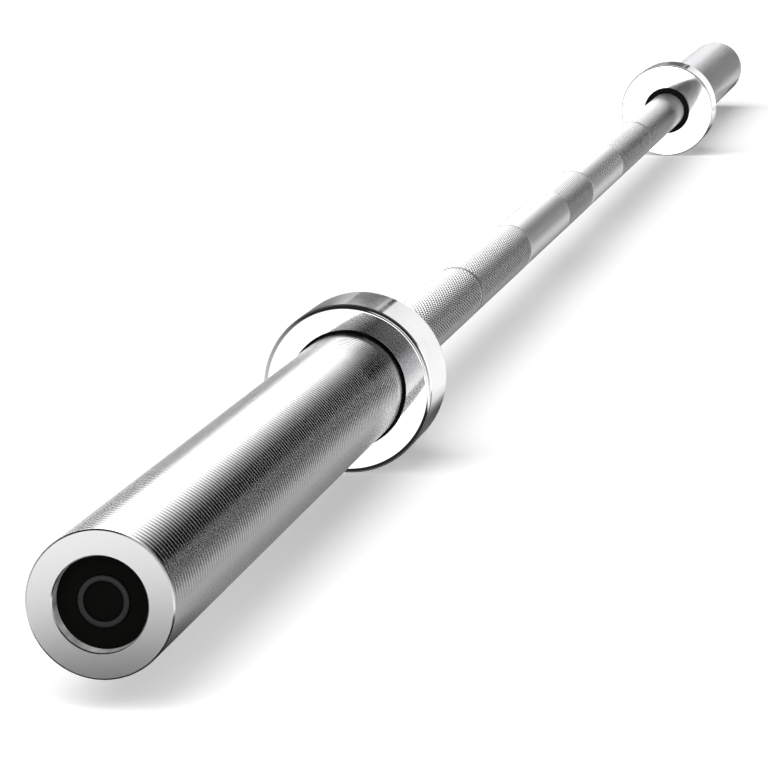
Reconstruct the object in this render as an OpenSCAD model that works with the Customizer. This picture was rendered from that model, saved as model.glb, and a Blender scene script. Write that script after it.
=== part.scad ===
// Olympic barbell with two revolving sleeves, in millimetres.
// The bar lies along X with the origin on its axis, half way between the ends.
// Each module draws the right-hand piece, and the left one is its mirror image.

/* [Shaft] */
// Length of shaft that shows between the two collars
grip_length = 1310; // [1250:5:1360]
// Diameter of the plain shaft
shaft_d = 28.5; // [27:0.5:30]
// Diameter of the turned journal that carries each sleeve
journal_d = 25; // [23:0.5:26]
// Distance from a sleeve's inner end to the shoulder of the shaft inside it
shoulder_inset = 2; // [1:0.5:4]
// Length of journal left outside the snap ring
journal_tail = 5; // [3:0.5:10]
// Bevel at the shoulder and at the ends of the shaft
shaft_bevel = 1; // [0.5:0.1:1.5]

/* [Knurling] */
// Height of the knurled bands over the plain shaft
knurl_rise = 0.1; // [0.05:0.05:0.3]
// Length of the band at the middle of the bar
centre_knurl = 120; // [80:5:160]
// Plain length between the middle band and each grip band
plain_gap = 165; // [120:5:200]
// Plain length between each grip band and its collar
collar_gap = 8; // [4:1:20]
// Distance between the two ring marks that set the width of the grip
mark_spacing = 810; // [780:10:910]
// Width of each ring mark
mark_width = 4; // [2:0.5:6]
// Depth of each ring mark under the plain shaft
mark_depth = 0.15; // [0.05:0.05:0.4]

/* [Sleeves] */
// Length of sleeve that takes plates, from the collar's face to the end
sleeve_length = 405; // [360:5:430]
// Outer diameter of the sleeve
sleeve_d = 50; // [48:0.5:52]
// Height of the shoulder in the bore that each bearing is pressed against
bore_shoulder = 1; // [0.5:0.1:1.8]
// Bevel round the outer end of the sleeve
end_bevel = 1; // [0.5:0.1:2]
// Bevel round the mouth of the bore
mouth_bevel = 0.4; // [0.2:0.1:1]

/* [Collars] */
// Outer diameter of the collar
collar_d = 75; // [68:1:90]
// Width of the collar along the bar
collar_width = 40; // [34:1:50]
// Thickness of the wall that closes the collar over the sleeve's inner end
collar_wall = 7; // [5:0.5:10]
// Height of the step in the sleeve that the collar is pressed up to
seat_step = 0.4; // [0.2:0.1:1]
// Width of the ring-shaped recess between the sleeve and the collar's face
recess_gap = 2; // [1:0.5:4]
// Depth of that recess
recess_depth = 3; // [1:0.5:6]
// Radius of the collar's outboard edge
front_round = 2.5; // [1:0.5:5]
// Radius of the collar's inboard edge
back_round = 1; // [0.5:0.5:4]
// Bevel at the two inner edges of the collar
edge_bevel = 0.4; // [0.2:0.1:0.8]

/* [Bearings] */
// Diameter of the needle rollers
needle_d = 2.5; // [2:0.1:2.7]
// Number of needle rollers in each bearing
needle_count = 22; // [12:1:24]
// Radial play on each side of a needle roller
needle_play = 0.03; // [0.02:0.01:0.05]
// Length of each bearing
bearing_length = 20; // [16:1:22]
// Wall of the drawn shell
shell_wall = 0.94; // [0.8:0.02:1.2]
// Gap between the shell's turned-in lips and the journal
lip_gap = 0.7; // [0.4:0.1:1]
// Radial thickness of the cage
cage_wall = 1.3; // [0.8:0.1:1.8]
// End play of the cage inside the shell, at each end
cage_play = 0.3; // [0.2:0.1:0.5]
// Width of the cage's rim past the pockets
cage_rim = 0.7; // [0.5:0.1:1.2]
// Gap round a needle roller in its pocket
pocket_play = 0.1; // [0.05:0.05:0.2]
// Distance from the sleeve's end to the outer bearing
bearing_inset = 40; // [34:1:60]
// End play between each bearing and its thrust washer
axial_play = 0.15; // [0.1:0.05:0.3]

/* [Washers and snap rings] */
// Thickness of the thrust washer at the shaft's shoulder
inner_washer = 2; // [1:0.5:3]
// Thickness of the thrust washer under the snap ring
outer_washer = 1.5; // [1:0.5:3]
// Play between a washer and the journal
washer_play = 0.1; // [0.05:0.05:0.3]
// Gap between a washer's rim and the bore round it
washer_gap = 0.4; // [0.3:0.1:0.8]
// Thickness of the snap ring
snap_thickness = 1.2; // [1:0.1:1.6]
// Depth of the shaft's groove for the snap ring
snap_depth = 0.6; // [0.4:0.1:1]
// Play between the snap ring and its groove
snap_play = 0.1; // [0.05:0.05:0.2]
// Height that the snap ring stands over the journal
snap_height = 1.8; // [1.2:0.1:2.2]
// Width of the split in the snap ring
snap_split = 6; // [3:0.5:10]

/* [Seals and end caps] */
// Radial width of the dust seal between the shaft and the collar
seal_width = 4.25; // [3:0.25:5]
// Distance that the seal lies behind the collar's inboard face
seal_setback = 1.5; // [0.5:0.5:3]
// Gap between the seal's lip and the shaft
seal_gap = 0.3; // [0.2:0.05:0.5]
// Thickness of the seal's lip
seal_lip = 1.5; // [1:0.1:2]
// Depth of the end cap's face behind the sleeve's end
cap_recess = 5.5; // [3:0.5:10]
// Length of the end cap's skirt and face together
cap_length = 12; // [8:1:18]
// Wall of the end cap
cap_wall = 2.2; // [1.2:0.1:3]
// Outer diameter of the raised ring on the cap's face
cap_ring_d = 17.3; // [14:0.5:22]
// Width of the raised ring
cap_ring_width = 1.9; // [1:0.1:3]
// Height of the raised ring
cap_ring_height = 1.2; // [0.5:0.1:2]

/* [Hidden] */

left = -1;
right = 1;

$fn = 96;
needle_fn = 24;
round_steps = 8;
// Length by which a cutting shape runs past the face that it opens
cut_over = 1;

// Radii, from the axis outwards
shaft_r = shaft_d / 2;
knurl_r = shaft_r + knurl_rise;
mark_r = shaft_r - mark_depth;
journal_r = journal_d / 2;
needle_r = needle_d / 2;
needle_circle_r = journal_r + needle_play + needle_r;
shell_r = journal_r + 2 * needle_play + needle_d;
seat_r = shell_r + shell_wall;
bore_r = seat_r - bore_shoulder;
sleeve_r = sleeve_d / 2;
collar_seat_r = sleeve_r - seat_step;
collar_r = collar_d / 2;
recess_r = sleeve_r + recess_gap;
seal_r = shaft_r + seal_width;

// Places along the bar, from the middle outwards
grip_end = grip_length / 2;
sleeve_start = grip_end + collar_wall;
shoulder_x = sleeve_start + shoulder_inset;
inner_bearing_x = shoulder_x + inner_washer + axial_play;
inner_bearing_end = inner_bearing_x + bearing_length;
collar_face = grip_end + collar_width;
collar_seat_end = collar_face - recess_depth;
sleeve_end = collar_face + sleeve_length;
outer_bearing_end = sleeve_end - bearing_inset;
outer_bearing_x = outer_bearing_end - bearing_length;
outer_washer_x = outer_bearing_end + axial_play;
snap_x = outer_washer_x + outer_washer;
snap_end = snap_x + snap_thickness;
shaft_end = snap_end + journal_tail;
cap_face = sleeve_end - cap_recess;
cap_start = cap_face - cap_length;

// Points of an arc about [r, x], from one angle to the other
function arc(r, x, radius, from, to) = [
    for (i = [0:round_steps])
        let (angle = from + (to - from) * i / round_steps)
            [r + radius * cos(angle), x + radius * sin(angle)]
];

// Turns an outline of [radius, place along the bar] points about the bar's axis
module turned(outline) {
    rotate([0, 90, 0])
        rotate_extrude()
            polygon(outline);
}

// A plain ring between two radii and two places along the bar
module ring(inner_r, outer_r, from, to) {
    turned([[inner_r, from], [outer_r, from], [outer_r, to], [inner_r, to]]);
}

// Keeps a right-hand piece, or mirrors it to the left-hand end
module at_end(side) {
    if (side == left)
        mirror([1, 0, 0])
            children();
    else
        children();
}

// Half of the shaft's outline: middle band, plain stretch, grip band with its
// ring mark, shoulder, journal and the groove for the snap ring
centre_end = centre_knurl / 2;
grip_start = centre_end + plain_gap;
grip_knurl_end = grip_end - collar_gap;
mark_start = (mark_spacing - mark_width) / 2;
mark_end = (mark_spacing + mark_width) / 2;
shaft_half = [
    [knurl_r, centre_end], [shaft_r, centre_end + knurl_rise],
    [shaft_r, grip_start - knurl_rise], [knurl_r, grip_start],
    [knurl_r, mark_start], [mark_r, mark_start + mark_depth],
    [mark_r, mark_end - mark_depth], [knurl_r, mark_end],
    [knurl_r, grip_knurl_end], [shaft_r, grip_knurl_end + knurl_rise],
    [shaft_r, shoulder_x - shaft_bevel], [shaft_r - shaft_bevel, shoulder_x],
    [journal_r, shoulder_x], [journal_r, snap_x - snap_play],
    [journal_r - snap_depth, snap_x - snap_play], [journal_r - snap_depth, snap_end],
    [journal_r, snap_end], [journal_r, shaft_end - shaft_bevel],
    [journal_r - shaft_bevel, shaft_end], [0, shaft_end]
];

module shaft() {
    count = len(shaft_half);
    color("silver")
        turned(concat(
            [for (i = [1:count]) [shaft_half[count - i][0], -shaft_half[count - i][1]]],
            shaft_half
        ));
}

// Tube that carries the plates, with a seat for a bearing at each end of its bore
module sleeve(side) {
    bore_side = [
        [seat_r, sleeve_start], [seat_r, inner_bearing_end],
        [bore_r, inner_bearing_end], [bore_r, outer_bearing_x],
        [seat_r, outer_bearing_x], [seat_r, sleeve_end - mouth_bevel],
        [seat_r + mouth_bevel, sleeve_end]
    ];
    outer_end = [
        [sleeve_r - end_bevel, sleeve_end], [sleeve_r, sleeve_end - end_bevel]
    ];
    collar_seat = [
        [sleeve_r, collar_seat_end], [collar_seat_r, collar_seat_end],
        [collar_seat_r, sleeve_start]
    ];
    color("gainsboro")
        at_end(side)
            turned(concat(bore_side, outer_end, collar_seat));
}

// Flange that the plates stop against, pressed on to the sleeve's inner end
module collar(side) {
    hole_side = [
        [seal_r + edge_bevel, grip_end], [seal_r, grip_end + edge_bevel],
        [seal_r, sleeve_start], [collar_seat_r, sleeve_start],
        [collar_seat_r, collar_seat_end], [recess_r, collar_seat_end],
        [recess_r, collar_face - edge_bevel], [recess_r + edge_bevel, collar_face]
    ];
    front = arc(collar_r - front_round, collar_face - front_round, front_round, 90, 0);
    back = arc(collar_r - back_round, grip_end + back_round, back_round, 0, -90);
    color("whitesmoke")
        at_end(side)
            turned(concat(hole_side, front, back));
}

// Rubber ring in the collar's inboard hole, with a lip that reaches to the shaft
module dust_seal(side) {
    start = grip_end + seal_setback;
    lip_r = shaft_r + seal_gap;
    body_r = (lip_r + seal_r) / 2;
    color("#141413")
        at_end(side)
            turned([
                [lip_r, start], [seal_r, start], [seal_r, sleeve_start],
                [body_r, sleeve_start], [body_r, start + 2 * seal_lip],
                [lip_r, start + seal_lip]
            ]);
}

// Drawn shell with both lips turned in, pressed into the sleeve's bore
module bearing_shell(side, start) {
    end = start + bearing_length;
    lip_r = journal_r + lip_gap;
    color("darkgray")
        at_end(side)
            turned([
                [lip_r, start], [seat_r, start], [seat_r, end], [lip_r, end],
                [lip_r, end - shell_wall], [shell_r, end - shell_wall],
                [shell_r, start + shell_wall], [lip_r, start + shell_wall]
            ]);
}

// Copies a piece to the place of each needle roller round the journal
module each_needle() {
    for (i = [0:needle_count - 1])
        rotate([i * 360 / needle_count, 0, 0])
            children();
}

cage_inset = shell_wall + cage_play;
cage_length = bearing_length - 2 * cage_inset;
pocket_length = cage_length - 2 * cage_rim;
pocket_inset = cage_inset + cage_rim;

// Ring with one pocket for each needle roller
module bearing_cage(side, start) {
    inner_r = needle_circle_r - cage_wall / 2;
    outer_r = needle_circle_r + cage_wall / 2;
    pocket_width = needle_d + 2 * pocket_play;
    pocket_depth = cage_wall + 2 * cut_over;
    cage_start = start + cage_inset;
    color("goldenrod")
        at_end(side)
            difference() {
                ring(inner_r, outer_r, cage_start, cage_start + cage_length);
                each_needle()
                    translate([start + pocket_inset, -pocket_width / 2, inner_r - cut_over])
                        cube([pocket_length, pocket_width, pocket_depth]);
            }
}

// The needle rollers of one bearing
module bearing_rollers(side, start) {
    color("lightgray")
        at_end(side)
            each_needle()
                translate([start + pocket_inset + pocket_play, 0, needle_circle_r])
                    rotate([0, 90, 0])
                        cylinder(h = pocket_length - 2 * pocket_play, r = needle_r, $fn = needle_fn);
}

// Washer on the journal that the inner bearing runs up to
module inner_thrust_washer(side) {
    color("darkgoldenrod")
        at_end(side)
            ring(journal_r + washer_play, seat_r - washer_gap, shoulder_x, shoulder_x + inner_washer);
}

// Washer between the outer bearing and the snap ring
module outer_thrust_washer(side) {
    color("darkgoldenrod")
        at_end(side)
            ring(journal_r + washer_play, seat_r - washer_gap, outer_washer_x, snap_x);
}

// Split ring in the journal's groove, which keeps the sleeve on the shaft
module snap_ring(side) {
    outer_r = journal_r + snap_height;
    color("dimgray")
        at_end(side)
            difference() {
                ring(journal_r - snap_depth + snap_play, outer_r, snap_x, snap_end);
                translate([snap_x - cut_over, -snap_split / 2, 0])
                    cube([snap_thickness + 2 * cut_over, snap_split, outer_r + cut_over]);
            }
}

// Cup-shaped plug pressed into the mouth of the bore, with a raised ring
module end_cap(side) {
    ring_r = cap_ring_d / 2;
    ring_top = cap_face + cap_ring_height;
    color("#141413")
        at_end(side)
            turned([
                [0, cap_face - cap_wall], [seat_r - cap_wall, cap_face - cap_wall],
                [seat_r - cap_wall, cap_start], [seat_r, cap_start], [seat_r, cap_face],
                [ring_r, cap_face], [ring_r, ring_top], [ring_r - cap_ring_width, ring_top],
                [ring_r - cap_ring_width, cap_face], [0, cap_face]
            ]);
}

shaft();

sleeve(left);  // left_sleeve
collar(left);  // left_collar
dust_seal(left);  // left_dust_seal
end_cap(left);  // left_end_cap
inner_thrust_washer(left);  // left_inner_thrust_washer
bearing_shell(left, inner_bearing_x);  // left_inner_bearing_shell
bearing_cage(left, inner_bearing_x);  // left_inner_bearing_cage
bearing_rollers(left, inner_bearing_x);  // left_inner_bearing_rollers
bearing_shell(left, outer_bearing_x);  // left_outer_bearing_shell
bearing_cage(left, outer_bearing_x);  // left_outer_bearing_cage
bearing_rollers(left, outer_bearing_x);  // left_outer_bearing_rollers
outer_thrust_washer(left);  // left_outer_thrust_washer
snap_ring(left);  // left_snap_ring

sleeve(right);  // right_sleeve
collar(right);  // right_collar
dust_seal(right);  // right_dust_seal
end_cap(right);  // right_end_cap
inner_thrust_washer(right);  // right_inner_thrust_washer
bearing_shell(right, inner_bearing_x);  // right_inner_bearing_shell
bearing_cage(right, inner_bearing_x);  // right_inner_bearing_cage
bearing_rollers(right, inner_bearing_x);  // right_inner_bearing_rollers
bearing_shell(right, outer_bearing_x);  // right_outer_bearing_shell
bearing_cage(right, outer_bearing_x);  // right_outer_bearing_cage
bearing_rollers(right, outer_bearing_x);  // right_outer_bearing_rollers
outer_thrust_washer(right);  // right_outer_thrust_washer
snap_ring(right);  // right_snap_ring
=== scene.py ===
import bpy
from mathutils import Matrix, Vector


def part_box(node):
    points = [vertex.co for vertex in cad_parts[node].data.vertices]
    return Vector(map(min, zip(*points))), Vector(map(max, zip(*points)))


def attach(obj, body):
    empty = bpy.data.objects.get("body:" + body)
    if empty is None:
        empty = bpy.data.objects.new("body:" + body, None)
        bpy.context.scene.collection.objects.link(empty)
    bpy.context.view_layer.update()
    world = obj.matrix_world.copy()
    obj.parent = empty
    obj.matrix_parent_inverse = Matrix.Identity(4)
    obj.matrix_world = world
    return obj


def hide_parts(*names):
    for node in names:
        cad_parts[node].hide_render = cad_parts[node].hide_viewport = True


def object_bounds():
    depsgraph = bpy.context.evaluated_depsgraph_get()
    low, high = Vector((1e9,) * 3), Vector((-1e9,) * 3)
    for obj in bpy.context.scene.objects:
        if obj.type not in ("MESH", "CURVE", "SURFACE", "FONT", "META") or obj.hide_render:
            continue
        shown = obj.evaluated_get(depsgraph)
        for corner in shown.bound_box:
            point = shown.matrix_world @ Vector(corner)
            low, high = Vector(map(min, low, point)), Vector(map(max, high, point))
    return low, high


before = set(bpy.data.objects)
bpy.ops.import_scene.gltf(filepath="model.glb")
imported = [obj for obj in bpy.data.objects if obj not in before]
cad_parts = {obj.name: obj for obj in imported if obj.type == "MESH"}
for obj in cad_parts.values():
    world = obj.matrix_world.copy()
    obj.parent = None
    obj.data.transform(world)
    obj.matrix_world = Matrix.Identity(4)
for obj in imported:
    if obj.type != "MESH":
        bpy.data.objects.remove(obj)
cad_box = [list(corner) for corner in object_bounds()]

from math import cos, radians, sin, tau

import bmesh
import bpy
from mathutils import Vector

# The shaft is one bar of alloy steel, turned and ground, with a journal at each end that the
# bearings run on. It is hard chromed after the knurling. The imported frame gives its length, the
# ends of its grip and its greatest radius, which is that of the knurled crests.
mm = 0.001
shaft_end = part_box("shaft")[1].x
crest_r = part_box("shaft")[1].z
grip_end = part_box("right_collar")[0].x
shoulder_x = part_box("right_inner_thrust_washer")[0].x
snap_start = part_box("right_snap_ring")[0].x
snap_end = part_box("right_snap_ring")[1].x
shaft_r = 14.25 * mm
journal_r = 12.5 * mm
snap_play = 0.1 * mm
snap_depth = 0.6 * mm
bar_bevel = 1 * mm
bar_segments = 160

# Where the knurled bands and the ring marks lie, from the middle of the bar.
centre_end = 60 * mm
grip_start = 225 * mm
plain_by_collar = 8 * mm
grip_knurl_end = grip_end - plain_by_collar
mark_middle = 405 * mm
mark_width = 4 * mm
mark_start = mark_middle - mark_width / 2
mark_end = mark_middle + mark_width / 2
mark_r = 14.1 * mm
knurl_floor_r = 14.0 * mm

sharp_edge = radians(15)


def revolve(name, outline, segments, side=1, closed=True):
    """A piece turned about the bar's axis from an outline of (radius, place along the bar)."""
    bm = bmesh.new()
    rings = []
    for r, x in outline:
        if r == 0:
            rings.append([bm.verts.new((side * x, 0, 0))] * segments)
            continue
        angles = [tau * i / segments for i in range(segments)]
        rings.append([bm.verts.new((side * x, -r * sin(a), r * cos(a))) for a in angles])
    pairs = list(zip(rings, rings[1:] + rings[:1]))
    for one, other in pairs if closed else pairs[:-1]:
        for i in range(segments):
            j = (i + 1) % segments
            corners = dict.fromkeys([one[i], one[j], other[j], other[i]])
            if len(corners) > 2:
                bm.faces.new(corners)
    bmesh.ops.recalc_face_normals(bm, faces=bm.faces)
    mesh = bpy.data.meshes.new(name)
    bm.to_mesh(mesh)
    bm.free()
    mesh.shade_smooth()
    mesh.set_sharp_from_angle(angle=sharp_edge)
    piece = bpy.data.objects.new(name, mesh)
    bpy.context.scene.collection.objects.link(piece)
    return piece


def node(tree, kind, inputs=None, **settings):
    """Adds a node, sets its properties, and sets or links each named or numbered input."""
    made = tree.nodes.new("ShaderNode" + kind)
    for key, value in settings.items():
        setattr(made, key, value)
    for key, value in (inputs or {}).items():
        if isinstance(value, bpy.types.NodeSocket):
            tree.links.new(value, made.inputs[key])
        else:
            made.inputs[key].default_value = value
    return made


def linear(hex_colour):
    """An sRGB colour such as "c8c8ca" as linear red, green, blue and alpha."""
    parts = [int(hex_colour[i:i + 2], 16) / 255 for i in (0, 2, 4)]
    return [c / 12.92 if c <= 0.04045 else ((c + 0.055) / 1.055) ** 2.4 for c in parts] + [1]


def new_material(name, settings):
    """A new material, its node tree, and its Principled shader with the sockets given set."""
    material = bpy.data.materials.new(name)
    material.use_nodes = True
    shader = material.node_tree.nodes["Principled BSDF"]
    for socket, value in settings.items():
        shader.inputs[socket].default_value = value
    return material, material.node_tree, shader


def lathe_lines(tree, shader):
    """Fine lines round the bar, and the tangent along which they smear what they reflect."""
    place = node(tree, "TexCoord").outputs["Object"]
    scales = (1 / grinding_line, 1 / grinding_run, 1 / grinding_run)
    along = node(tree, "Mapping", {"Vector": place, "Scale": scales})
    lines = node(tree, "TexNoise", {"Vector": along.outputs[0], "Scale": 1.0, "Detail": 3.0})
    line_depth = 0.001 * mm
    bump = node(tree, "Bump", {"Height": lines.outputs[0], "Distance": line_depth, "Strength": 0.5})
    tree.links.new(bump.outputs[0], shader.inputs["Normal"])
    around = node(tree, "Tangent", direction_type="RADIAL", axis="X")
    tree.links.new(around.outputs[0], shader.inputs["Tangent"])


def fine_grain(tree, shader, size, rise, detail=2.0, strength=0.4):
    """A grain of one size all over, whose specks rise by the height given."""
    place = node(tree, "TexCoord").outputs["Object"]
    grain = node(tree, "TexNoise", {"Vector": place, "Scale": 1 / size, "Detail": detail})
    bump = node(tree, "Bump", {"Height": grain.outputs[0], "Distance": rise, "Strength": strength})
    tree.links.new(bump.outputs[0], shader.inputs["Normal"])
    return grain.outputs[0]


# Hard chrome on a circumferentially ground bar: a bright neutral metal that smears what it
# reflects along the bar and keeps it sharp round the bar. The grinding lines are about 0.15 mm
# apart, which is drawn as 0.6 mm so that they show, and each runs some 83 mm before it fades.
grinding_line = 0.6 * mm
grinding_run = 83.3 * mm
ground_chrome, tree, shader = new_material("hard_chrome_over_ground_steel", {
    "Base Color": linear("efeff0"), "Metallic": 1, "Roughness": 0.25,
    "Anisotropic": 0.9, "Anisotropic Rotation": 0.25,
})
lathe_lines(tree, shader)

# The floor of each ring mark lies too low for the grinding wheel and for the polishing cloth, so it
# is dull, and its colour is darkened with painted shade, so that the mark shows as a thin dark
# line.
mark_chrome_with_painted_shade, tree, shader = new_material("dull_chrome_with_painted_shade_of_ring_mark", {
    "Base Color": linear("666668"), "Metallic": 1, "Roughness": 0.4,
})
fine_grain(tree, shader, size=0.4 * mm, rise=0.01 * mm)

half_bar = [
    (knurl_floor_r, centre_end), (shaft_r, centre_end),
    (shaft_r, grip_start), (knurl_floor_r, grip_start),
    (knurl_floor_r, mark_start), (mark_r, mark_start),
    (mark_r, mark_end), (knurl_floor_r, mark_end),
    (knurl_floor_r, grip_knurl_end), (shaft_r, grip_knurl_end),
    (shaft_r, shoulder_x - bar_bevel), (shaft_r - bar_bevel, shoulder_x),
    (journal_r, shoulder_x), (journal_r, snap_start - snap_play),
    (journal_r - snap_depth, snap_start - snap_play), (journal_r - snap_depth, snap_end),
    (journal_r, snap_end), (journal_r, shaft_end - bar_bevel),
    (journal_r - bar_bevel, shaft_end), (0, shaft_end),
]
mirrored_half = [(r, -x) for r, x in reversed(half_bar)]
bar = revolve("bar", mirrored_half + half_bar, bar_segments, closed=False)
bar.data.materials.append(ground_chrome)
bar.data.materials.append(mark_chrome_with_painted_shade)
for face in bar.data.polygons:
    # Faces at the middle of each ring mark take the chrome darkened with painted shade.
    in_mark = abs(abs(face.center.x) - mark_middle) < mark_width / 4
    face.material_index = 1 if in_mark else 0
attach(bar, "shaft")
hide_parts("shaft")

# The knurling is rolled into the bar by two crossed wheels, which press up rows of small
# pyramids. It lies in one band at the middle and one in each half, which the ring mark parts.
# The pyramids are 2.1 mm across and 5.6 mm long, and their crests stand a little over the bar.
SIDES = {"left": -1, "right": 1}
diamonds_round = 42
diamond_length = 5.6 * mm
diamond_depth = 0.3 * mm
overlap_with_bar = 0.05 * mm


def knurl_band(name, start, end):
    """A ring of rolled pyramids between two places along the bar, closed on its inside."""
    bm = bmesh.new()
    columns = 2 * diamonds_round
    rows = 2 * max(1, round((end - start) / diamond_length))
    step = (end - start) / rows

    def ring(x, radii):
        return [
            bm.verts.new((x, -r * sin(tau * i / columns), r * cos(tau * i / columns)))
            for i, r in enumerate(radii)
        ]

    low_r = crest_r - diamond_depth
    grid = []
    for row in range(rows + 1):
        on_rim = row in (0, rows)
        radii = [low_r if on_rim or (row + i) % 2 == 0 else crest_r for i in range(columns)]
        grid.append(ring(start + row * step, radii))
    inside_r = knurl_floor_r - overlap_with_bar
    first = ring(start, [inside_r] * columns)
    last = ring(end, [inside_r] * columns)
    for row in range(rows):
        for i in range(columns):
            j = (i + 1) % columns
            a, b = grid[row][i], grid[row][j]
            c, d = grid[row + 1][j], grid[row + 1][i]
            split = [(a, b, c), (a, c, d)] if (row + i) % 2 == 0 else [(a, b, d), (b, c, d)]
            for corners in split:
                bm.faces.new(corners)
    for one, other in ((first, grid[0]), (grid[-1], last), (last, first)):
        for i in range(columns):
            j = (i + 1) % columns
            bm.faces.new((one[i], one[j], other[j], other[i]))
    bmesh.ops.recalc_face_normals(bm, faces=bm.faces)
    mesh = bpy.data.meshes.new(name)
    bm.to_mesh(mesh)
    bm.free()
    band = bpy.data.objects.new(name, mesh)
    bpy.context.scene.collection.objects.link(band)
    return band


# Chrome over rolled knurling: bright, slightly soft facets, which trap some of the light.
knurl_chrome, tree, shader = new_material("hard_chrome_over_rolled_knurling", {
    "Base Color": linear("c6c6c8"), "Metallic": 1, "Roughness": 0.27,
})
fine_grain(tree, shader, size=0.5 * mm, rise=0.01 * mm)

bands = [knurl_band("knurl_centre", -centre_end, centre_end)]
half_bands = (("inner", grip_start, mark_start), ("outer", mark_end, grip_knurl_end))
for side_name, side in SIDES.items():
    for part, start, end in half_bands:
        ends = sorted((side * start, side * end))
        bands.append(knurl_band(f"{side_name}_knurl_{part}", *ends))
for band in bands:
    band.data.materials.append(knurl_chrome)
    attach(band, "shaft")

# Each sleeve is a steel tube that turns on two needle bearings and takes the plates. Its outside
# is turned with a fine V-shaped groove every 3.2 mm, from the end bevel to the collar, and is
# then hard chromed. The flat lands between the grooves are what a plate slides on.
sleeve_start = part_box("right_sleeve")[0].x
sleeve_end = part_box("right_sleeve")[1].x
sleeve_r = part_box("right_sleeve")[1].z
collar_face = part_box("right_collar")[1].x
bore_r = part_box("right_end_cap")[1].z
inner_seat_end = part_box("right_inner_bearing_shell")[1].x
outer_seat_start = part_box("right_outer_bearing_shell")[0].x
bore_shoulder = 1 * mm
end_bevel = 0.3 * mm
end_bevel_drop = 0.55 * mm
mouth_bevel = 0.4 * mm
mouth_depth = 8 * mm
seat_step = 0.4 * mm
recess_depth = 3 * mm
groove_pitch = 3.2 * mm
groove_width = 2 * mm
groove_depth = 0.31 * mm
groove_floor = 0.1 * mm
end_land = 1.6 * mm
neck_land = 5 * mm
sleeve_segments = 160


def sleeve_outline():
    """The tube's bore, its beveled end, its grooves and its seat under the collar."""
    seat_end = collar_face - recess_depth
    outline = [
        (bore_r, sleeve_start), (bore_r, inner_seat_end),
        (bore_r - bore_shoulder, inner_seat_end), (bore_r - bore_shoulder, outer_seat_start),
        (bore_r, outer_seat_start), (bore_r, sleeve_end - mouth_depth),
        (bore_r, sleeve_end - mouth_bevel), (bore_r + mouth_bevel, sleeve_end),
        (sleeve_r - end_bevel_drop, sleeve_end), (sleeve_r, sleeve_end - end_bevel),
    ]
    edge = sleeve_end - end_bevel - end_land
    while edge - groove_width > collar_face + neck_land:
        outline += [
            (sleeve_r, edge),
            (sleeve_r - groove_depth, edge - (groove_width - groove_floor) / 2),
            (sleeve_r - groove_depth, edge - (groove_width + groove_floor) / 2),
            (sleeve_r, edge - groove_width),
        ]
        edge -= groove_pitch
    return outline + [
        (sleeve_r, seat_end), (sleeve_r - seat_step, seat_end), (sleeve_r - seat_step, sleeve_start)
    ]


# Hard chrome over turned steel: fine lines across the lands, as on the shaft, but a harder shine.
turned_chrome, tree, shader = new_material("hard_chrome_over_turned_steel", {
    "Base Color": linear("e2e2e4"), "Metallic": 1, "Roughness": 0.16,
    "Anisotropic": 0.9, "Anisotropic Rotation": 0.25,
})
lathe_lines(tree, shader)

# The sleeve's end face is bead blasted before the chrome: pale, matt and very finely grained.
blasted_chrome, tree, shader = new_material("chrome_over_blasted_steel", {
    "Base Color": linear("e2e2e3"), "Metallic": 1, "Roughness": 0.36,
})
fine_grain(tree, shader, size=0.35 * mm, rise=0.03 * mm, detail=3.0, strength=0.5)

# The mouth of the bore isn't plated. It has a matt grey phosphate coat, streaked along the bore
# by the tool that pressed the plug in.
streak_length = 50 * mm
streak_width = 6.25 * mm
phosphated, tree, shader = new_material("phosphated_steel_of_bore", {"Roughness": 0.7})
place = node(tree, "TexCoord").outputs["Object"]
scales = (1 / streak_length, 1 / streak_width, 1 / streak_width)
along = node(tree, "Mapping", {"Vector": place, "Scale": scales})
streaks = node(tree, "TexNoise", {"Vector": along.outputs[0], "Scale": 1.0, "Detail": 3.0})
spread = node(tree, "MapRange", {"Value": streaks.outputs[0], "From Min": 0.35, "From Max": 0.65})
tone = node(tree, "MixRGB", {0: spread.outputs[0], 1: linear("4c4c4b"), 2: linear("9c9c9b")})
tree.links.new(tone.outputs[0], shader.inputs["Base Color"])

for side_name, side in SIDES.items():
    sleeve = revolve(f"{side_name}_plate_sleeve", sleeve_outline(), sleeve_segments, side)
    sleeve.data.materials.append(turned_chrome)
    sleeve.data.materials.append(blasted_chrome)
    sleeve.data.materials.append(phosphated)
    for face in sleeve.data.polygons:
        from_end = sleeve_end - abs(face.center.x)
        in_mouth = from_end < mouth_depth and face.center.yz.length < bore_r + mouth_bevel / 4
        on_end = from_end < end_bevel / 4
        face.material_index = 2 if in_mouth else 1 if on_end else 0
    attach(sleeve, f"{side_name}_sleeve")
    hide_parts(f"{side_name}_sleeve")

# Each collar is turned from steel, mirror polished and chromed, and pressed on to the sleeve's
# inner end. Its outboard face has a ring-shaped recess round the sleeve, and both of its rims
# are rounded.
collar_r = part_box("right_collar")[1].z
seal_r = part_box("right_dust_seal")[1].z
seal_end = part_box("right_dust_seal")[1].x
recess_gap = 1.2 * mm
front_round = 3 * mm
front_crease = 32
back_round = 1 * mm
edge_bevel = 0.4 * mm
lip_bevel = 0.25 * mm
collar_segments = 256
seat_r = sleeve_r - seat_step
recess_r = sleeve_r + recess_gap
front_r = collar_r - front_round * cos(radians(front_crease))


def round_corner(r, x, radius, start, end, steps):
    """Points of a rounded corner about (r, x), between two angles in degrees from the radial."""
    angles = [radians(start + (end - start) * i / steps) for i in range(steps + 1)]
    return [(r + radius * cos(a), x + radius * sin(a)) for a in angles]


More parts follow.
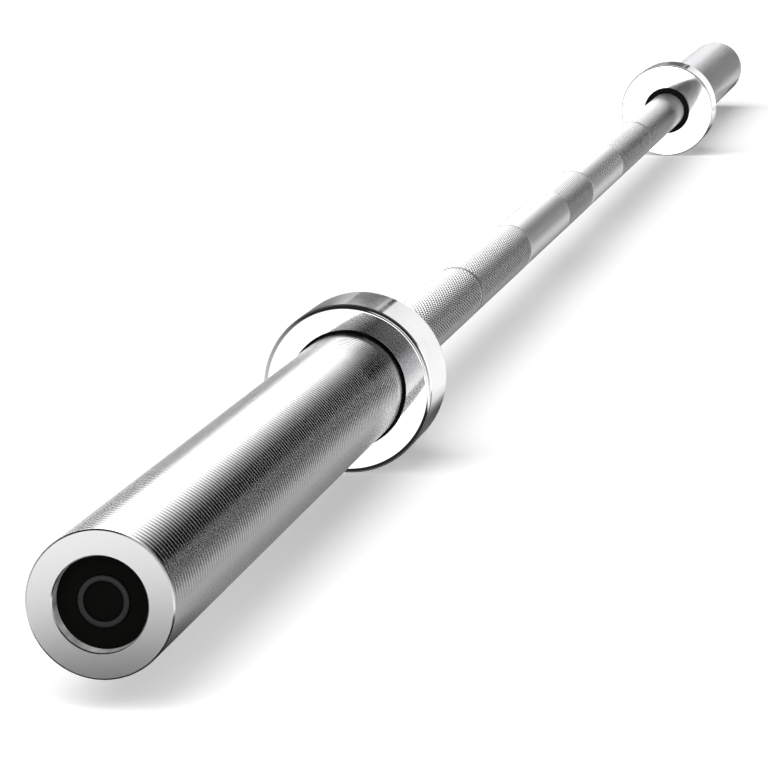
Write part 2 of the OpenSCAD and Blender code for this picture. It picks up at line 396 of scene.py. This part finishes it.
# The front edge is rounded from the face to a crease with the rim. Close to both rounded edges
# the rim has a ring of its own, which keeps its shading flat.
collar_outline = [
    (seal_r + edge_bevel, grip_end), (seal_r, grip_end + edge_bevel), (seal_r, seal_end),
    (seat_r, seal_end), (seat_r, collar_face - recess_depth),
    (recess_r, collar_face - recess_depth), (recess_r, collar_face - lip_bevel),
    (recess_r + lip_bevel, collar_face),
    *round_corner(front_r, collar_face - front_round, front_round, 90, front_crease, steps=16),
    (collar_r, collar_face - 2 * front_round), (collar_r, grip_end + 2 * back_round),
    *round_corner(collar_r - back_round, grip_end + back_round, back_round, 0, -90, steps=10),
]

# Mirror-polished chrome: a clean reflection with the faint haze that buffing leaves.
haze_size = 9 * mm
mirror_chrome, tree, shader = new_material("mirror_polished_chrome", {
    "Base Color": linear("f0f0f1"), "Metallic": 1,
})
place = node(tree, "TexCoord").outputs["Object"]
haze = node(tree, "TexNoise", {"Vector": place, "Scale": 1 / haze_size, "Detail": 4.0})
rough = node(tree, "MapRange", {"Value": haze.outputs[0], "To Min": 0.03, "To Max": 0.08})
tree.links.new(rough.outputs[0], shader.inputs["Roughness"])

# The recess carries painted shade: a near-black colour with a dull mottle, for the deep shade
# that falls in it.
mottle_size = 0.8 * mm
recess_steel_with_painted_shade, tree, shader = new_material("steel_of_recess_with_painted_shade", {
    "Metallic": 1, "Roughness": 0.5,
})
place = node(tree, "TexCoord").outputs["Object"]
mottle = node(tree, "TexNoise", {"Vector": place, "Scale": 1 / mottle_size, "Detail": 3.0})
tone = node(tree, "MixRGB", {0: mottle.outputs[0], 1: linear("151515"), 2: linear("1f1f1f")})
tree.links.new(tone.outputs[0], shader.inputs["Base Color"])

for side_name, side in SIDES.items():
    collar = revolve(f"{side_name}_flange", collar_outline, collar_segments, side)
    collar.data.materials.append(mirror_chrome)
    collar.data.materials.append(recess_steel_with_painted_shade)
    for face in collar.data.polygons:
        from_face = collar_face - abs(face.center.x)
        # Faces deep in the recess take the near-black painted shade.
        behind_lip = lip_bevel < from_face < recess_depth + lip_bevel
        in_recess = behind_lip and face.center.yz.length < recess_r + lip_bevel
        face.material_index = 1 if in_recess else 0
    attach(collar, f"{side_name}_sleeve")
    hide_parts(f"{side_name}_collar")

# A black rubber ring fills the collar's inboard hole and reaches almost to the shaft. It is
# moulded, with a rounded lip, and pressed in against the end of the sleeve.
seal_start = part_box("right_dust_seal")[0].x
seal_gap = 0.3 * mm
seal_lip = 1.5 * mm
lip_round = 0.4 * mm
seal_lip_r = shaft_r + seal_gap
seal_body_r = (seal_lip_r + seal_r) / 2
seal_segments = 128
seal_outline = [
    *round_corner(seal_lip_r + lip_round, seal_start + lip_round, lip_round, 180, 270, steps=6),
    (seal_r, seal_start), (seal_r, seal_end), (seal_body_r, seal_end),
    (seal_body_r, seal_start + 2 * seal_lip), (seal_lip_r, seal_start + seal_lip),
]

# Moulded nitrile rubber: near black and matt, with a fine skin.
seal_rubber, tree, shader = new_material("moulded_nitrile_rubber", {
    "Base Color": linear("0b0b0a"), "Roughness": 0.6, "Specular IOR Level": 0.1,
})
fine_grain(tree, shader, size=0.6 * mm, rise=0.03 * mm, detail=3.0)

for side_name, side in SIDES.items():
    seal = revolve(f"{side_name}_seal_ring", seal_outline, seal_segments, side)
    seal.data.materials.append(seal_rubber)
    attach(seal, f"{side_name}_sleeve")
    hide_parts(f"{side_name}_dust_seal")

# A cup-shaped plug of black plastic closes the mouth of the bore and keeps the grease in. It is
# moulded and pressed in, and its face has a raised satin ring.
cap_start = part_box("right_end_cap")[0].x
ring_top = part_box("right_end_cap")[1].x
ring_height = 1.2 * mm
ring_r = 8.65 * mm
ring_width = 1.9 * mm
ring_round = 0.35 * mm
ring_inner_r = ring_r - ring_width
cap_wall = 2.2 * mm
cap_face = ring_top - ring_height
cap_segments = 128
round_x = ring_top - ring_round
cap_outline = [
    (0, cap_face - cap_wall), (bore_r - cap_wall, cap_face - cap_wall),
    (bore_r - cap_wall, cap_start), (bore_r, cap_start), (bore_r, cap_face),
    (ring_r, cap_face),
    *round_corner(ring_r - ring_round, round_x, ring_round, 0, 90, steps=6),
    *round_corner(ring_inner_r + ring_round, round_x, ring_round, 90, 180, steps=6),
    (ring_inner_r, cap_face), (0, cap_face),
]

# Moulded black nylon, which swallows almost all light, with the fine bloom of its mould.
cap_nylon, tree, shader = new_material("moulded_black_nylon", {
    "Base Color": linear("050504"), "Roughness": 0.6, "Specular IOR Level": 0.05,
})
fine_grain(tree, shader, size=0.3 * mm, rise=0.03 * mm)

# The same nylon on the raised ring, rubbed by hands and plates: dark grey with a satin shine.
ring_nylon, tree, shader = new_material("rubbed_black_nylon", {
    "Base Color": linear("191919"), "Roughness": 0.4, "Specular IOR Level": 0.25,
})
fine_grain(tree, shader, size=0.5 * mm, rise=0.02 * mm)

for side_name, side in SIDES.items():
    cap = revolve(f"{side_name}_bore_cap", cap_outline, cap_segments, side)
    cap.data.materials.append(cap_nylon)
    cap.data.materials.append(ring_nylon)
    for face in cap.data.polygons:
        on_ring = abs(face.center.x) > cap_face + ring_height / 2
        face.material_index = 1 if on_ring else 0
    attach(cap, f"{side_name}_sleeve")
    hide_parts(f"{side_name}_end_cap")

# Inside each sleeve are two needle bearings, two bronze thrust washers and a snap ring. They
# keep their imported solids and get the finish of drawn, ground or sprung steel, or of bronze:
# a metal with a slight mottle and grain of the size given last.
inner_finishes = {
    "bearing_shell": ("drawn_bearing_steel", "a9aaac", 0.28, 0.8 * mm),
    "bearing_cage": ("pressed_steel_cage", "9a9a98", 0.36, 0.5 * mm),
    "bearing_rollers": ("ground_roller_steel", "c9cacc", 0.15, 0.4 * mm),
    "thrust_washer": ("machined_bronze", "b08d57", 0.32, 0.6 * mm),
    "snap_ring": ("oiled_spring_steel", "4a4b4e", 0.34, 0.5 * mm),
}
mottle_share = 0.8
for part, (name, colour, roughness, grain_size) in inner_finishes.items():
    finish, tree, shader = new_material(name, {"Metallic": 1, "Roughness": roughness})
    grain = fine_grain(tree, shader, grain_size, rise=0.01 * mm, detail=3.0, strength=0.5)
    light = linear(colour)
    dark = [mottle_share * c for c in light[:3]] + [1]
    tone = node(tree, "MixRGB", {0: grain, 1: light, 2: dark})
    tree.links.new(tone.outputs[0], shader.inputs["Base Color"])
    for node_name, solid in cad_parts.items():
        if node_name.endswith(part):
            solid.data.materials.clear()
            solid.data.materials.append(finish)

# The floor is a plain white sheet that the collars rest on, 40 m each way.
floor_z = cad_box[0][2]
reach = 40
floor_mesh = bpy.data.meshes.new("floor")
floor_corners = ((-reach, -reach), (reach, -reach), (reach, reach), (-reach, reach))
floor_mesh.from_pydata([(x, y, floor_z) for x, y in floor_corners], [], [(0, 1, 2, 3)])
floor_sheet = bpy.data.objects.new("floor", floor_mesh)
bpy.context.scene.collection.objects.link(floor_sheet)

# White card: part of its brightness is its own, so that it reads as white, and the rest is lit,
# so that it keeps the bar's shadow. The metal sees the studio through it, but for the deep shade
# close in front of each end, an oval that fades from its core to its edge.
shade_middle = sleeve_end + 40 * mm
shade_stretch = 1.8
shade_core = 46 * mm
shade_edge = 92 * mm
shade_light = 0.03
white_card, tree, shader = new_material("white_card", {
    "Base Color": linear("ededed"), "Roughness": 1, "Specular IOR Level": 0,
    "Emission Color": linear("ffffff"), "Emission Strength": 0.29,
})
place = node(tree, "SeparateXYZ", {0: node(tree, "TexCoord").outputs["Object"]})
either_way = node(tree, "Math", {0: place.outputs["X"]}, operation="ABSOLUTE")
past_end = node(tree, "Math", {0: either_way.outputs[0], 1: shade_middle}, operation="SUBTRACT")
shrunk = node(tree, "Math", {0: past_end.outputs[0], 1: shade_stretch}, operation="DIVIDE")
flat_way = node(tree, "CombineXYZ", {"X": shrunk.outputs[0], "Y": place.outputs["Y"]})
apart = node(tree, "VectorMath", {0: flat_way.outputs[0]}, operation="LENGTH").outputs["Value"]
clear = node(tree, "MapRange", {"Value": apart, "From Min": shade_core, "From Max": shade_edge})
dark = node(tree, "Emission", {"Strength": shade_light})
gone = node(tree, "BsdfTransparent")
at_end = node(tree, "MixShader", {0: clear.outputs[0], 1: dark.outputs[0], 2: gone.outputs[0]})
in_metal = node(tree, "LightPath").outputs["Is Glossy Ray"]
card = node(tree, "MixShader", {0: in_metal, 1: shader.outputs[0], 2: at_end.outputs[0]})
tree.links.new(card.outputs[0], tree.nodes["Material Output"].inputs["Surface"])
floor_mesh.materials.append(white_card)

# The studio as the metal sees it, in rings round the line of the bar, from the far end's side to
# the camera's: white cards, grey walls and black flags. The camera itself sees plain white. Off
# the line is an angle of 0 degrees at the far end's side, and the turn round it is 0 degrees
# straight up, 90 to the right, and -90 to the left.
world = bpy.data.worlds.new("studio")
bpy.context.scene.world = world
world.use_nodes = True
world.cycles_visibility.diffuse = False
tree = world.node_tree
tree.nodes.clear()
way = node(tree, "TexCoord").outputs["Generated"]
split = node(tree, "SeparateXYZ", {0: way})
right_way = node(tree, "Math", {0: split.outputs["Y"], 1: -1.0}, operation="MULTIPLY")
turn = node(tree, "Math", {0: right_way.outputs[0], 1: split.outputs["Z"]}, operation="ARCTAN2")
off_line = node(tree, "Math", {0: split.outputs["X"]}, operation="ARCCOSINE")


def degrees_ramp(angle, low, high, stops):
    """Brightness against an angle in degrees, as a colour ramp."""
    limits = {"From Min": radians(low), "From Max": radians(high)}
    share = node(tree, "MapRange", {"Value": angle, **limits})
    ramp = node(tree, "ValToRGB", {0: share.outputs[0]})
    points = ramp.color_ramp.elements
    points.remove(points[-1])
    for i, (degrees, level) in enumerate(stops):
        position = (degrees - low) / (high - low)
        point = points.new(position) if i else points[0]
        point.position = position
        point.color = (level, level, level, 1)
    return ramp.outputs[0]


# Each ring: where off the line it starts and is full, then its brightness at each turn.
studio_strength = 2.0
rings = [
    # Straight ahead, which the far half mirrors: a grey wall on the right, dark on the left.
    (0, 0, [
        (-165, 0.03), (-145, 0.05), (-120, 0.2), (-86, 0.15), (-58, 0.2), (-55, 0.08),
        (-26, 0.06), (-16, 0.08), (-12, 0.2), (-9, 0.2), (-7, 0.02), (-3, 0.02), (0, 0.4),
        (33, 0.53), (140, 0.53), (153, 0.42), (165, 0.3), (178, 0.2),
    ]),
    # A white card overhead and a black flag on the right, for the plain parts of the shaft.
    (9.5, 10.3, [
        (-165, 0.03), (-145, 0.05), (-120, 0.2), (-86, 0.15), (-58, 0.3), (-20, 1.0),
        (10, 1.0), (25, 0.4), (36, 0.05), (88, 0.02), (105, 0.3), (120, 0.53),
        (140, 0.53), (153, 0.42), (165, 0.3), (178, 0.2),
    ]),
    # The grey wall again, for the rim of the near collar.
    (12.1, 12.5, [
        (-165, 0.03), (-145, 0.05), (-120, 0.25), (-86, 0.22), (-58, 0.25), (-55, 0.08),
        (-26, 0.06), (-16, 0.08), (-12, 0.2), (-9, 0.2), (-7, 0.02), (-3, 0.02), (0, 0.4),
        (33, 0.53), (140, 0.53), (153, 0.42), (165, 0.12), (175, 0.03),
    ]),
    # A bright card above and a black flag on the right, for the lands of the near sleeve.
    (14.1, 14.7, [
        (-165, 0.08), (-140, 0.05), (-115, 0.15), (-95, 0.06), (-78, 0.04), (-60, 0.4),
        (-48, 0.9), (-40, 1.1), (-10, 1.2), (6, 0.8), (20, 0.25), (32, 0.06), (42, 0.0),
        (84, 0.0), (90, 0.02), (98, 0.11), (110, 0.24), (132, 0.22), (160, 0.12), (178, 0.08),
    ]),
    # The same card, wider and brighter, for the knurling and the sleeve's outer end.
    (21, 22.5, [
        (-165, 0.05), (-138, 0.08), (-112, 1.0), (-75, 1.0), (-40, 1.6), (-10, 1.4),
        (6, 1.0), (20, 0.5), (40, 0.1), (50, 0.0), (84, 0.0), (95, 0.08), (110, 0.3),
        (130, 0.25), (160, 0.25), (178, 0.3),
    ]),
    # Dim overhead, between the two cards.
    (34, 36, [
        (-165, 0.3), (-60, 0.42), (-43, 0.2), (-20, 0.2), (0, 0.1), (15, 0.1), (30, 0.1),
        (60, 0.03), (80, 0.05), (100, 0.3), (120, 0.35), (150, 0.15), (178, 0.3),
    ]),
    # A second card above, for the slopes of the sleeve's grooves.
    (42, 44, [
        (-165, 0.3), (-60, 0.4), (-46, 0.14), (-30, 0.14), (-18, 1.0), (6, 1.0), (20, 0.3),
        (32, 0.06), (42, 0.0), (80, 0.0), (88, 0.01), (97, 0.12), (110, 0.25), (130, 0.16),
        (160, 0.12), (178, 0.2),
    ]),
    # Black flags overhead with a strip of white on the right and one low on the left.
    (62, 68, [
        (-162, 0.02), (-150, 0.8), (-125, 0.8), (-110, 0.4), (-80, 0.25), (-50, 0.01),
        (58, 0.0), (64, 0.9), (96, 0.9), (102, 0.01), (178, 0.01),
    ]),
    (82, 84, [
        (-162, 0.08), (-150, 0.7), (-125, 0.7), (-110, 0.4), (-80, 0.25), (-50, 0.08),
        (0, 0.05), (40, 0.07), (58, 0.12), (64, 0.9), (96, 0.9), (102, 0.2), (140, 0.07),
        (178, 0.07),
    ]),
    (97, 99, [
        (-162, 0.01), (-150, 0.3), (-110, 0.4), (-80, 0.2), (-50, 0.01), (50, 0.01),
        (60, 0.03), (85, 0.25), (112, 0.6), (118, 0.01), (178, 0.01),
    ]),
    # Behind the camera's side, for the collars' faces and the sleeves' blasted ends: black
    # above and white below, and all white straight behind.
    (140.5, 141.2, [
        (-162, 0.01), (-150, 0.5), (-100, 0.5), (-60, 0.3), (-40, 0.01), (0, 0.01), (8, 0.5),
        (70, 0.5), (112, 0.9), (118, 0.01), (178, 0.01),
    ]),
    (150, 158, [
        (-178, 0.8), (-160, 0.88), (-90, 0.88), (-60, 0.7), (-30, 0.02), (60, 0.02),
        (85, 0.2), (115, 0.4), (145, 0.8),
    ]),
    (169.5, 170.5, [(-178, 1.0), (-60, 1.0), (-30, 0.15), (60, 0.15), (100, 1.0)]),
    (172.5, 173.5, [(-180, 1.0)]),
]
mirrored = degrees_ramp(turn.outputs[0], -180, 180, rings[0][2])
for start, end, stops in rings[1:]:
    ring = degrees_ramp(turn.outputs[0], -180, 180, stops)
    further = degrees_ramp(off_line.outputs[0], 0, 180, [(start, 0), (end, 1)])
    mirrored = node(tree, "MixRGB", {0: further, 1: mirrored, 2: ring}).outputs[0]
studio = node(tree, "Background", {"Color": mirrored, "Strength": studio_strength})
plain = node(tree, "Background", {"Color": linear("ffffff"), "Strength": 1.0})
seen = node(tree, "LightPath").outputs["Is Camera Ray"]
both = node(tree, "MixShader", {0: seen, 1: studio.outputs[0], 2: plain.outputs[0]})
node(tree, "OutputWorld", {"Surface": both.outputs[0]})

# Two broad soft lights from far off: one from above and beyond the left-hand end, which throws
# the bar's shadow, and a weak low one from the same side, which thins it. Each is given by where
# it comes from, its strength in W/m2 and its width in degrees. The metal doesn't mirror them.
for name, towards, strength, width in (
    ("top_light", (-0.8, 0.25, 1), 3.6, 60),
    ("end_light", (-3, 0, 1), 0.6, 30),
):
    soft = bpy.data.lights.new(name, "SUN")
    soft.energy = strength
    soft.angle = radians(width)
    soft_light = bpy.data.objects.new(name, soft)
    soft_light.rotation_euler = Vector(towards).to_track_quat("Z", "Y").to_euler()
    soft_light.visible_glossy = False
    bpy.context.scene.collection.objects.link(soft_light)

# A round 3 W lamp low on the right of the left-hand end thins the shadow beside that end.
lamp_place = Vector((-1.45, -0.45, 0.3))
lamp_aim = Vector((-sleeve_end, 0, floor_z))
lamp = bpy.data.lights.new("fill_lamp", "AREA")
lamp.shape = "DISK"
lamp.size = 0.5
lamp.energy = 3
fill = bpy.data.objects.new("fill_lamp", lamp)
fill.location = lamp_place
fill.rotation_euler = (lamp_place - lamp_aim).to_track_quat("Z", "Y").to_euler()
fill.visible_glossy = False
bpy.context.scene.collection.objects.link(fill)

# The camera looks along the bar from beyond the left-hand end, a little above it, through a long
# lens. Its place and way fit the outlines of the near sleeve, the collars and the shaft.
camera = bpy.data.cameras.new("camera")
camera.sensor_width = 36
camera.lens = 157.3
camera.clip_start = 0.05
camera.clip_end = 100
viewer = bpy.data.objects.new("camera", camera)
viewer.location = (-2.1141, -0.2841, 0.2555)
forward = Vector((0.968, 0.1825, -0.1723))
viewer.rotation_mode = "QUATERNION"
viewer.rotation_quaternion = forward.to_track_quat("-Z", "Y")
bpy.context.scene.collection.objects.link(viewer)
bpy.context.scene.camera = viewer
bpy.context.scene.view_settings.view_transform = "Standard"
